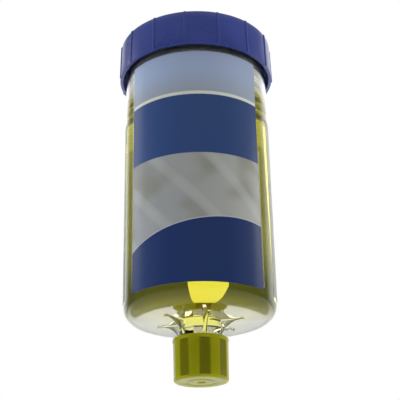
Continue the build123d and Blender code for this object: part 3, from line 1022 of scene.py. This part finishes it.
    def inside(self) -> Outline:
        """Draw the inner profile from the rim down to the outlet's end.

        Returns:
            The profile as radius and height.
        """
        bore, outlet, end = self.barrel_radius - self.wall, self.outlet_radius, -self.thread_length
        funnel_foot = self.base_height(self.mouth_radius, self.base_wall) - self.funnel_depth
        points = [(bore + self.edge, self.rim), (bore, self.rim - self.edge)]
        points += [(bore, height) for height in (self.bore_top_row, self.oil_top, *self.bore_rows)]
        points += self.floor()
        points += [(outlet, height) for height in (funnel_foot, 0.0, self.outlet_row, end + self.edge)]
        return points + [(outlet + self.edge, end)]

    def thread_swell(self, radius: float, angle: float, height: float) -> float:
        """Cut the thread's flanks into the outlet's outside.

        Args:
            radius: The plain radius of the point.
            angle: Its direction in degrees.
            height: Its height.

        Returns:
            What the thread adds to the radius, at most 0.
        """
        if radius < self.thread_radius or not -self.thread_length < height < 0.0:
            return 0.0
        phase = height / self.thread_pitch - angle / 360
        runout = smoothstep(-height, *self.thread_runout)
        return -self.thread_depth * runout * (0.5 - 0.5 * math.cos(math.tau * phase))

    def fin_outline(self) -> Outline:
        """Draw one fin: its free edge is a hollow arc from the neck's foot out to a low tip.

        Returns:
            The outline as radius and height.
        """
        root, tip = self.neck_radius - self.base_wall / 2, self.fin_tip_radius
        start = Vector((self.neck_radius + self.fin_foot_width, self.fin_foot))
        end = Vector((tip, self.base_height(tip) - self.fin_tip_height))
        half = (end - start) / 2
        bend = (half.length_squared + self.fin_hollow**2) / (2 * self.fin_hollow)
        aside = Vector((-half.y, half.x)).normalized()
        outline = [(root, self.fin_foot)]
        for share in (i / 5 for i in range(-5, 6)):
            rise = math.sqrt(bend**2 - (share * half.length) ** 2) - (bend - self.fin_hollow)
            outline.append(tuple(start + half * (1 + share) + aside * rise))
        return outline + [(r, self.base_height(r) + self.base_wall / 2) for r in (tip, root)]

    def fins(self) -> bpy.types.Object:
        """Build the gusset fins between the neck and the base, a little buried in both.

        Returns:
            All fins as one object.
        """
        draft = Draft()
        outline = self.fin_outline()
        for index in range(self.fin_count):
            angle = self.fin_angle + index * 360 / self.fin_count
            turn = Matrix.Rotation(math.radians(angle), 3, "Z")
            near, far = (
                draft.ring([turn @ Vector((r, side * self.fin_thickness, z)) for r, z in outline])
                for side in (-0.5, 0.5)
            )
            draft.bridge(near, far)
            draft.faces += [tuple(near), tuple(reversed(far))]
        fins = draft.build("fins", None)
        bevel = fins.modifiers.new("edges", "BEVEL")
        bevel.width = self.fin_edge * MM
        bevel.segments = 2
        bevel.limit_method = "ANGLE"
        bake(fins)
        return fins

    def build_container(self) -> bpy.types.Object:
        """Build the clear shell with its fins joined into one solid, its wetted faces marked.

        Returns:
            The container.
        """
        outside = self.outside()
        profile = outside + self.inside()
        shell = revolve("clear_container", profile, self.segments, swell=self.thread_swell)
        self.palette.dress(shell, Slot.BARREL)
        shell.data.materials.append(self.palette.wet_wall)
        for face in shell.data.polygons:
            row = face.index // self.segments
            below = row < len(profile) - 1 and max(profile[row][1], profile[row + 1][1]) <= self.oil_top
            face.material_index = int(row >= len(outside) and below)
        fins = self.fins()
        union = shell.modifiers.new("fins", "BOOLEAN")
        union.operation = "UNION"
        union.solver = "EXACT"
        union.object = fins
        bake(shell)
        bpy.data.objects.remove(fins)
        smooth_between(shell.data, 28)
        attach(shell, "lubricator")
        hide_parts("container")
        return shell

    def build_oil(self) -> list[bpy.types.Object]:
        """Build the oil under the piston and the oil in the outlet.

        Returns:
            The two bodies of oil.
        """
        lap = self.oil_overlap
        bore = self.barrel_radius - self.wall + lap
        outlet = self.outlet_radius + lap
        joint = self.base_height(self.mouth_radius, self.base_wall) - self.funnel_edge - self.funnel_depth
        profile = [(radius, self.oil_top) for radius in (0.0, self.oil_middle, bore - self.oil_edge)]
        profile += [(bore, height) for height in (self.oil_top - self.oil_edge, *self.oil_rows)]
        profile += self.floor(lap)
        profile += [(outlet, joint), (0.0, joint)]
        oil = revolve("oil_column", profile, closed=False)
        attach(oil, "lubricator")
        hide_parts("lubricant")
        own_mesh(oil)
        top, end = joint + self.stem_lap, self.stem_short - self.thread_length
        profile = [(0.0, top), (outlet, top), (outlet, self.stem_row), (outlet, end), (0.0, end)]
        stem = revolve("oil_in_outlet", profile, 90, closed=False)
        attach(stem, "lubricator")
        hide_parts("lubricant")
        for piece in (oil, stem):
            self.palette.dress(piece, Slot.OIL)
        return [oil, stem]


# ------------------------------------------------------------------ labels
@dataclass
class Labels:
    """The printed front label and the two plain rear ones, laid on the barrel."""

    palette: Palette
    barrel_radius: float = 24.3
    thickness: float = 0.12
    sunk: float = 0.03
    corner: float = 0.5
    corner_row: float = 0.15
    rows: int = 12
    fewest_columns: int = 24
    front_half_angle: float = 55.0
    rear_angles: tuple[float, float] = (72.5, 174.0)

    def quads(self, rows: int, columns: int) -> list[list[tuple[int, int, int]]]:
        """List the faces of a thin bent slab.

        Args:
            rows: How many faces it has from its foot to its top.
            columns: How many faces it has across.

        Returns:
            Each face's corners as side (0 inner, 1 outer), row and column.
        """
        faces = []
        for row in range(rows):
            for column in range(columns):
                corners = [(row, column), (row, column + 1), (row + 1, column + 1), (row + 1, column)]
                faces.append([(1, *corner) for corner in corners])
                faces.append([(0, *corner) for corner in reversed(corners)])
            for c in (0, columns):
                faces.append([(0, row, c), (1, row, c), (1, row + 1, c), (0, row + 1, c)])
        for column in range(columns):
            for r in (0, rows):
                faces.append([(0, r, column), (1, r, column), (1, r, column + 1), (0, r, column + 1)])
        return faces

    def strip(self, name: str, node: str, from_angle: float, to_angle: float) -> bpy.types.Object:
        """Bend one label onto the barrel, with its corners rounded and its print laid out in millimetres.

        Args:
            name: The object's name.
            node: The CAD node that it stands for.
            from_angle: One upright edge, in degrees from the front towards +X.
            to_angle: The other upright edge.

        Returns:
            The label.
        """
        low, high = (corner.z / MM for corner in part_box(node))
        outer = self.barrel_radius + self.thickness
        middle = (from_angle + to_angle) / 2
        half = (to_angle - from_angle) / 2
        columns = max(self.fewest_columns, round(half))
        heights = [low, low + self.corner_row, low + self.corner]
        heights += [low + (high - low) * i / self.rows for i in range(1, self.rows)]
        heights += [high - self.corner, high - self.corner_row, high]
        work = bmesh.new()
        layer = work.loops.layers.uv.new("print_mm")
        grid: dict[tuple[int, int, int], bmesh.types.BMVert] = {}
        places: dict[bmesh.types.BMVert, tuple[float, float]] = {}
        for side, radius in enumerate((self.barrel_radius - self.sunk, outer)):
            for row, height in enumerate(heights):
                inset = max(self.corner - min(height - low, high - height), 0.0)
                trim = self.corner - math.sqrt(self.corner**2 - inset**2)
                reach = half - math.degrees(trim / outer)
                for column in range(columns + 1):
                    angle = middle - reach + 2 * reach * column / columns
                    vertex = work.verts.new(on_circle(radius, angle - 90, height) * MM)
                    grid[side, row, column] = vertex
                    places[vertex] = (math.radians(angle - middle) * outer, height - low)
        for quad in self.quads(len(heights) - 1, columns):
            work.faces.new([grid[corner] for corner in quad])
        bmesh.ops.recalc_face_normals(work, faces=work.faces)
        for face in work.faces:
            for loop in face.loops:
                loop[layer].uv = places[loop.vert]
        mesh = bpy.data.meshes.new(name)
        work.to_mesh(mesh)
        work.free()
        smooth_between(mesh, 30)
        # Marks the inner side, where the rear film's painted shade goes.
        inside = mesh.attributes.new("inner_side", "FLOAT", "POINT")
        for vertex, share in zip(mesh.vertices, inside.data):
            share.value = float(vertex.co.xy.length < self.barrel_radius * MM)
        label = linked(name, mesh)
        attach(label, "lubricator")
        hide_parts(node)
        return label

    def build(self) -> list[bpy.types.Object]:
        """Build and dress the three labels.

        Returns:
            The front label, then the right and the left rear one.
        """
        near, far = self.rear_angles
        front = self.strip("front_film", "front_label", -self.front_half_angle, self.front_half_angle)
        right = self.strip("rear_film_right", "rear_label_right", near, far)
        left = self.strip("rear_film_left", "rear_label_left", -far, -near)
        self.palette.dress(front, Slot.FRONT_PRINT)
        for label in (right, left):
            self.palette.dress(label, Slot.REAR_PRINT)
        return [front, right, left]


# ------------------------------------------------------------------ top ring
@dataclass
class GripRing:
    """The round blue ring with slim raised ribs, its lower skirt hanging clear of the barrel."""

    palette: Palette
    ribs: int = 15
    radius: float = 26.5
    rib_angle: float = -94.7
    draft_degrees: float = 1.2
    rib_radius: float = 0.55
    rib_proud: float = 0.3
    # Columns beside a rib's middle, in degrees, and how many parts the rib's pitch has beyond them.
    rib_columns: tuple[float, ...] = (0.15, 0.3, 0.45, 0.6, 0.75, 0.9, 1.05, 1.3, 1.8)
    pitch_parts: int = 14
    # Height above the lower edge, or below the upper one, and inset of the rounded edges.
    lower_edge: tuple[tuple[float, float], ...] = ((0.0, 0.3), (0.04, 0.14), (0.13, 0.04), (0.3, 0.0))
    upper_edge: tuple[tuple[float, float], ...] = (
        (0.6, 0.0),
        (0.4, 0.06),
        (0.2, 0.2),
        (0.06, 0.42),
        (0.0, 0.7),
    )
    inner_edge: float = 0.25
    skirt_wall: float = 1.2
    skirt_height: float = 5.0
    skirt_flare: float = 0.2
    bore_radius: float = 24.05
    groove_depth: float = 0.3
    groove: tuple[float, float] = (97.4, 99.0)
    lip_radius: float = 19.6
    top_thickness: float = 1.3

    def outline(self, above: float, inset: float) -> Outline:
        """Draw the outer outline at one height.

        Args:
            above: Height above the ring's lower edge.
            inset: How far the outline is drawn in, for the rounded edges.

        Returns:
            Radius and angle in degrees for each point.
        """
        wall = self.radius - above * math.tan(math.radians(self.draft_degrees)) - inset
        rib_centre = wall + self.rib_proud - self.rib_radius
        near = [-a for a in reversed(self.rib_columns)] + [0.0, *self.rib_columns]
        pitch = 360 / self.ribs
        points = []
        for index in range(self.ribs):
            centre = self.rib_angle + index * pitch
            for offset in near:
                turn = math.radians(offset)
                reach = self.rib_radius**2 - (rib_centre * math.sin(turn)) ** 2
                rib = rib_centre * math.cos(turn) + math.sqrt(max(reach, 0.0))
                points.append((max(wall, rib), centre + offset))
            points += [(wall, centre + pitch * i / self.pitch_parts) for i in range(2, self.pitch_parts - 1)]
        return points

    def inside(self, low: float, high: float) -> Outline:
        """Draw the inner profile: the lip over the dial cover, the grooved bore and the wide skirt.

        Args:
            low: Height of the ring's lower edge.
            high: Height of its top.

        Returns:
            The profile as radius and height, from the top down.
        """
        bore, lip, skirt = self.bore_radius, self.lip_radius, self.radius - self.skirt_wall
        depth, (groove_low, groove_high) = self.groove_depth, self.groove
        underside, skirt_top = high - self.top_thickness, low + self.skirt_height
        points = [(lip + self.inner_edge, high), (lip, high - self.inner_edge), (lip, underside)]
        points += [(bore, underside), (bore, groove_high), (bore + depth, groove_high - depth)]
        points += [(bore + depth, groove_low + depth), (bore, groove_low), (bore, skirt_top + depth)]
        points += [(bore + depth, skirt_top), (skirt, skirt_top), (skirt, low + self.inner_edge)]
        return points + [(skirt + self.skirt_flare, low)]

    def build(self) -> bpy.types.Object:
        """Build and dress the ring.

        Returns:
            The ring.
        """
        low, high = (corner.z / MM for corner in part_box("top_ring"))
        tall = high - low
        outside = [*self.lower_edge, *((tall * share, 0.0) for share in (0.2, 0.4, 0.6, 0.8))]
        outside += [(tall - below, inset) for below, inset in self.upper_edge]
        draft = Draft()
        rows = []
        for above, inset in outside:
            rows.append(draft.ring([on_circle(r, a, low + above) for r, a in self.outline(above, inset)]))
        angles = [angle for _, angle in self.outline(0.0, 0.0)]
        rows += [draft.circle(radius, height, angles) for radius, height in self.inside(low, high)]
        draft.loft(rows, closed=True)
        ring = draft.build("grip_ring", 24)
        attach(ring, "lubricator")
        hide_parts("top_ring")
        self.palette.dress(ring, Slot.BLUE)
        return ring


# ------------------------------------------------------------------ closure cap
@dataclass
class ClosureCap:
    """The screw closure: a waxy tapered cup with a low lip, eight shallow flats and a rounded foot."""

    palette: Palette
    radius: float = 8.64
    draft_degrees: float = 0.6
    lip_radius: float = 8.81
    lip_height: float = 1.2
    lip_flare: float = 0.5
    lip_edge: float = 0.35
    foot_radius: float = 0.7
    flats: int = 8
    flat_depth: float = 0.23
    flat_angle: float = -79.1
    flat_margin: float = 0.8
    # How much the flats' upright edges are rounded, and the depth at which a flat counts as one in full.
    flat_round: float = 0.03
    flat_full: float = 0.12
    # How far apart the columns stand that round those edges, in degrees.
    column_step: float = 0.7
    bore_radius: float = 6.93
    bore_rows: tuple[float, float] = (-4.0, -8.0)
    bore_edges: tuple[float, float] = (0.2, 0.3)
    floor: float = 1.7
    soften: float = 0.1
    # The underside's middle height, and its other rows as radius and height: a dimple, then a shallow ring.
    dimple: float = 0.25
    underside: tuple[tuple[float, float], ...] = (
        (1.0, 0.25),
        (1.15, 0.05),
        (1.3, 0.0),
        (4.2, 0.0),
        (4.35, 0.07),
        (4.6, 0.07),
        (4.75, 0.0),
    )

    def side(self, below_lip: float) -> float:
        """The plain side's radius at a distance below the lip."""
        return self.radius - below_lip * math.tan(math.radians(self.draft_degrees))

    def angles(self) -> list[float]:
        """Place the columns, closer together at the flats' upright edges.

        Returns:
            Their angles in degrees, rising.
        """
        edge = math.degrees(math.acos(1 - self.flat_depth / self.radius))
        pitch = 360 / self.flats
        offsets = [0.35 * edge, 0.7 * edge, *(edge + i * self.column_step for i in range(-2, 3))]
        # One more column stands about halfway along the round side between two flats.
        offsets += [(edge + pitch / 2) / 2 + 0.5]
        both = [-o for o in offsets] + [0.0, *offsets, pitch / 2]
        return sorted(self.flat_angle + i * pitch + o for i in range(self.flats) for o in both)

    def wall(self, angle: float, below_lip: float, length: float) -> float:
        """Work out the side's radius with the flats, their upright edges a little rounded.

        Args:
            angle: Direction from the axis, in degrees.
            below_lip: Distance below the lip.
            length: How far the flats reach below the lip.

        Returns:
            The radius.
        """
        side = self.side(below_lip)
        pitch = 360 / self.flats
        offset = (angle - self.flat_angle + pitch / 2) % pitch - pitch / 2
        flat = (side - self.flat_depth) / math.cos(math.radians(offset))
        blend = max(self.flat_round - abs(side - flat), 0.0) ** 2 / (4 * self.flat_round)
        cut = min(side, flat) - blend
        inside = smoothstep(below_lip, 0.0, self.soften)
        inside *= 1 - smoothstep(below_lip, length - self.soften, length + self.soften)
        return side + (cut - side) * inside

    def flat_share(self, point: Vector, lip_low: float, length: float) -> float:
        """Tell how far a point of the cap lies on a flat, where the cap's painted shade goes.

        Args:
            point: The point.
            lip_low: Height of the lip's lower edge.
            length: How far the flats reach below it.

        Returns:
            0 on the round side and 1 on a flat.
        """
        below_lip = lip_low - point.z
        if point.xy.length < self.bore_radius + 0.5 or not 0.0 <= below_lip <= length:
            return 0.0
        return smoothstep(self.side(below_lip) - point.xy.length, 0.0, self.flat_full)

    def build(self) -> bpy.types.Object:
        """Build and dress the cap.

        Returns:
            The cap.
        """
        bottom, top = (corner.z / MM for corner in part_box("outlet_cap"))
        lip_low = top - self.lip_height
        length = lip_low - bottom - self.flat_margin
        angles = self.angles()
        draft = Draft()
        rows = [draft.ring([Vector((0, 0, bottom + self.dimple))])]
        foot = [(radius, bottom + height) for radius, height in self.underside]
        rim = self.side(lip_low - bottom) - self.foot_radius
        foot += arc_points((rim, bottom + self.foot_radius), self.foot_radius, -90, 0, 7)
        rows += [draft.circle(radius, height, angles) for radius, height in foot]
        step = self.soften
        drops = [length + step, length + 0.4 * step, length - 0.4 * step, length - step]
        drops += [length * share for share in (0.75, 0.5, 0.25)] + [step, 0.6 * step, 0.3 * step, 0.0]
        for drop in drops:
            row = [on_circle(self.wall(angle, drop, length), angle, lip_low - drop) for angle in angles]
            rows.append(draft.ring(row))
        bore, floor = self.bore_radius, bottom + self.floor
        mouth_edge, floor_edge = self.bore_edges
        shape = [(self.lip_radius, lip_low + self.lip_flare)]
        shape += arc_points((self.lip_radius - self.lip_edge, top - self.lip_edge), self.lip_edge, 0, 90, 5)
        shape += [(bore + mouth_edge, top)]
        shape += [(bore, height) for height in (top - mouth_edge, *self.bore_rows, floor + floor_edge)]
        shape += [(bore - floor_edge, floor)]
        rows += [draft.circle(radius, height, angles) for radius, height in shape]
        rows.append(draft.ring([Vector((0, 0, floor))]))
        draft.loft(rows)
        cap = draft.build("closure_cap", 40)
        # How far each point lies on a flat, which sets where the painted shade on the flats goes.
        share = cap.data.attributes.new("flat_share", "FLOAT", "POINT")
        for point, vertex in zip(cap.data.vertices, share.data):
            vertex.value = self.flat_share(point.co / MM, lip_low, length)
        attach(cap, "cap_group")
        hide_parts("outlet_cap")
        self.palette.dress(cap, Slot.CAP)
        return cap


# ------------------------------------------------------------------ drive head
@dataclass
class DriveHead:
    """What closes the top: the blue dial cover with its month numbers, the dial, and the parts inside."""

    palette: Palette
    numeral_radius: float = 16.6
    numeral_size: float = 2.3
    numeral_raise: float = 0.15
    months: int = 12

    def finishes(self) -> dict[str, Slot]:
        """List which finish each CAD piece of the drive and the piston has.

        Returns:
            The slot for each node.
        """
        seals = ("housing_seal", "dial_seal", "piston_seal_lower", "piston_seal_upper", "cap_seal")
        cells = ("gas_cell_1", "gas_cell_2", "battery_1", "battery_2")
        sprung = (*(f"cell_contact_{i}" for i in range(1, 5)), "dial_clip", "selector_wiper")
        mouldings = {"dial_cover": Slot.BLUE, "time_dial": Slot.DIAL, "drive_housing": Slot.DARK}
        return (
            mouldings
            | {"piston": Slot.NATURAL, "circuit_board": Slot.BOARD, "control_chip": Slot.CHIP}
            | dict.fromkeys(seals, Slot.RUBBER)
            | dict.fromkeys(cells, Slot.CELL)
            | dict.fromkeys(sprung, Slot.CONTACT)
        )

    def dress_nodes(self) -> None:
        """Give each CAD piece of the drive and the piston its material."""
        for name, slot in self.finishes().items():
            self.palette.dress(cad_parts[name], slot)
            log.info("dressed %s as %s", name, slot.value)

    def build_numbers(self) -> bpy.types.Object:
        """Build the ring of raised month numbers outside the ticks as one piece.

        Returns:
            The numbers.
        """
        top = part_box("drive_housing")[1].z
        whole = bmesh.new()
        for month in range(1, self.months + 1):
            curve = bpy.data.curves.new("number", "FONT")
            curve.body = str(month)
            curve.size = self.numeral_size * MM
            curve.align_x = "CENTER"
            curve.align_y = "CENTER"
            curve.extrude = self.numeral_raise * MM
            text = bpy.data.objects.new("number", curve)
            mesh = bpy.data.meshes.new_from_object(text)
            angle = -90 - month * 360 / self.months
            turn = Matrix.Rotation(math.radians(angle + 90), 4, "Z")
            mesh.transform(Matrix.Translation(on_circle(self.numeral_radius * MM, angle, top)) @ turn)
            whole.from_mesh(mesh)
            bpy.data.objects.remove(text)
        mesh = bpy.data.meshes.new("month_numbers")
        whole.to_mesh(mesh)
        whole.free()
        numbers = linked("month_numbers", mesh)
        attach(numbers, "lubricator")
        self.palette.dress(numbers, Slot.DIAL)
        return numbers


# ------------------------------------------------------------------ studio
def area_lamp(name: str, size: tuple[float, float], power: float) -> bpy.types.Object:
    """Make a flat rectangular lamp that the lens doesn't see.

    Args:
        name: The lamp's name.
        size: Its width and height in millimetres.
        power: Its power in watts.

    Returns:
        The lamp.
    """
    light = bpy.data.lights.new(name, "AREA")
    light.shape = "RECTANGLE"
    light.size, light.size_y = (side * MM for side in size)
    light.energy = power
    lamp = linked(name, light)
    lamp.visible_camera = False
    return lamp


@dataclass(frozen=True)
class Panel:
    """A soft lamp that faces the object's middle, hidden from the lens.

    Its place and its width and height are in millimetres, and its power is in watts.
    """

    name: str
    place: tuple[float, float, float]
    size: tuple[float, float]
    power: float
    in_gloss: bool = True
    aim_height: float = 45.0

    def build(self) -> bpy.types.Object:
        """Hang the lamp.

        Returns:
            The lamp.
        """
        panel = area_lamp(self.name, self.size, self.power)
        panel.location = Vector(self.place) * MM
        aim = Vector((0, 0, self.aim_height * MM)) - panel.location
        panel.rotation_euler = aim.to_track_quat("-Z", "Y").to_euler()
        panel.visible_glossy = self.in_gloss
        return panel


@dataclass
class Studio:
    """A pale floor, a bright tent around the object, soft panels and the camera."""

    floor_height: float = -160.0
    floor_size: float = 6000.0
    camera_place: tuple[float, float, float] = (12.084, -276.771, -72.492)
    camera_turn: tuple[float, float, float] = (113.3556, 1.0133, 2.8044)
    lens: float = 81.727
    sensor: float = 36.0
    # The tent's levels, and between which components of the direction each of them rises.
    front_level: float = 0.25
    front_rise: tuple[float, float] = (0.26, 0.54)
    back_level: float = 1.4
    back_rise: tuple[float, float] = (0.5, 0.75)
    back_skew: float = 0.08
    zenith_level: float = 0.7
    zenith_rise: tuple[float, float] = (0.6, 0.8)
    side_dusk: float = 0.5
    side_rise: tuple[float, float] = (0.3, 0.7)
    glow_level: float = 1.1
    glow_size: tuple[float, float] = (1800.0, 2200.0)
    glow_back: float = 1500.0
    glow_lift: float = 5.0
    panels: tuple[Panel, ...] = (
        Panel("left_panel", (-420, 115, 250), (200, 200), 0.14),
        Panel("right_panel", (420, 100, 200), (150, 120), 0.09),
        Panel("front_fill", (0, -1600, 450), (1400, 700), 1.7, in_gloss=False),
        Panel("back_fill", (0, 700, 0), (900, 180), 2.6, in_gloss=False),
        Panel("left_fill", (-1300, -120, 450), (1000, 600), 7.2, in_gloss=False),
        Panel("right_fill", (1300, -120, 450), (1000, 600), 7.2, in_gloss=False),
    )

    def build_floor(self) -> bpy.types.Object:
        """Lay the pale floor.

        Returns:
            The floor.
        """
        place = (0, 0, self.floor_height * MM)
        bpy.ops.mesh.primitive_plane_add(size=self.floor_size * MM, location=place)
        floor = bpy.context.object
        floor.name = "studio_floor"
        floor.data.materials.append(StudioPaint("pale_floor").material())
        return floor

    def build_world(self) -> None:
        """Light the tent: white to the eye, and in gloss brighter behind and above than in front."""
        world = bpy.data.worlds.new("studio_tent")
        bpy.context.scene.world = world
        world.use_nodes = True
        world.node_tree.nodes.clear()
        sheet = NodeSheet(world.node_tree)
        direction = sheet.add("TexCoord", output="Generated")
        right, back, up = (sheet.add("SeparateXYZ", (direction,), axis) for axis in "XYZ")
        skewed = sheet.add("Math", (right, self.back_skew, back), operation="MULTIPLY_ADD")
        behind = sheet.add("MapRange", (skewed, *self.back_rise, 0.0, self.back_level), **SMOOTH)
        levels = (0.5 * self.front_level, self.front_level)
        front = sheet.add("MapRange", (up, *self.front_rise, *levels), **SMOOTH)
        around = sheet.add("Math", (front, behind), operation="ADD")
        above = sheet.add("MapRange", (up, *self.zenith_rise, 0.0, self.zenith_level), **SMOOTH)
        level = sheet.add("Math", (around, above), operation="ADD")
        tent = sheet.add("Background", {"Color": WHITE, "Strength": level})
        # What is seen through the clear plastic is white too, and dims towards the sides.
        through = sheet.add("LightPath", output="Is Transmission Ray")
        aside = sheet.add("Math", (right,), operation="ABSOLUTE")
        dusk = sheet.add("MapRange", (aside, *self.side_rise, 0.0, self.side_dusk), **SMOOTH)
        dimmed = sheet.add("Math", (dusk, through), operation="MULTIPLY")
        white_level = sheet.add("Math", (1.0, dimmed), operation="SUBTRACT")
        white = sheet.add("Background", {"Color": WHITE, "Strength": white_level})
        direct = sheet.add("LightPath", output="Is Camera Ray")
        seen = sheet.add("Math", (direct, through), operation="MAXIMUM")
        sheet.add("OutputWorld", {"Surface": sheet.add("MixShader", (seen, tent, white))})

    def build_floor_glow(self) -> bpy.types.Object:
        """Add the bright sweep of the floor as the glossy base sees it, spreading far behind.

        Returns:
            The lamp.
        """
        area = math.prod(side * MM for side in self.glow_size)
        glow = area_lamp("floor_glow", self.glow_size, self.glow_level * math.pi * area)
        glow.location = (0, self.glow_back * MM, (self.floor_height + self.glow_lift) * MM)
        glow.rotation_euler = (math.pi, 0, 0)
        glow.visible_diffuse = False
        glow.visible_transmission = False
        return glow

    def build_camera(self) -> bpy.types.Object:
        """Stand the camera below and in front of the object, looking up at it.

        Returns:
            The camera.
        """
        lens = bpy.data.cameras.new("camera")
        lens.sensor_width = self.sensor
        lens.lens = self.lens
        camera = linked("camera", lens)
        camera.location = Vector(self.camera_place) * MM
        camera.rotation_euler = Euler([math.radians(a) for a in self.camera_turn])
        bpy.context.scene.camera = camera
        return camera

    def build(self) -> None:
        """Set up the whole studio."""
        bpy.context.scene.view_settings.view_transform = "Standard"
        self.build_floor()
        self.build_world()
        for panel in self.panels:
            panel.build()
        self.build_floor_glow()
        self.build_camera()


def main() -> None:
    """Build and dress every piece, then the studio."""
    logging.basicConfig(level=logging.INFO, format="%(name)s: %(message)s")
    palette = Palette()
    reservoir = Reservoir(palette)
    head = DriveHead(palette)
    head.dress_nodes()
    pieces = [reservoir.build_container(), *reservoir.build_oil(), *Labels(palette).build()]
    pieces += [GripRing(palette).build(), ClosureCap(palette).build(), head.build_numbers()]
    for piece in pieces:
        log.info("built %s with %d faces", piece.name, len(piece.data.polygons))
    Studio().build()


if __name__ == "__main__":
    main()
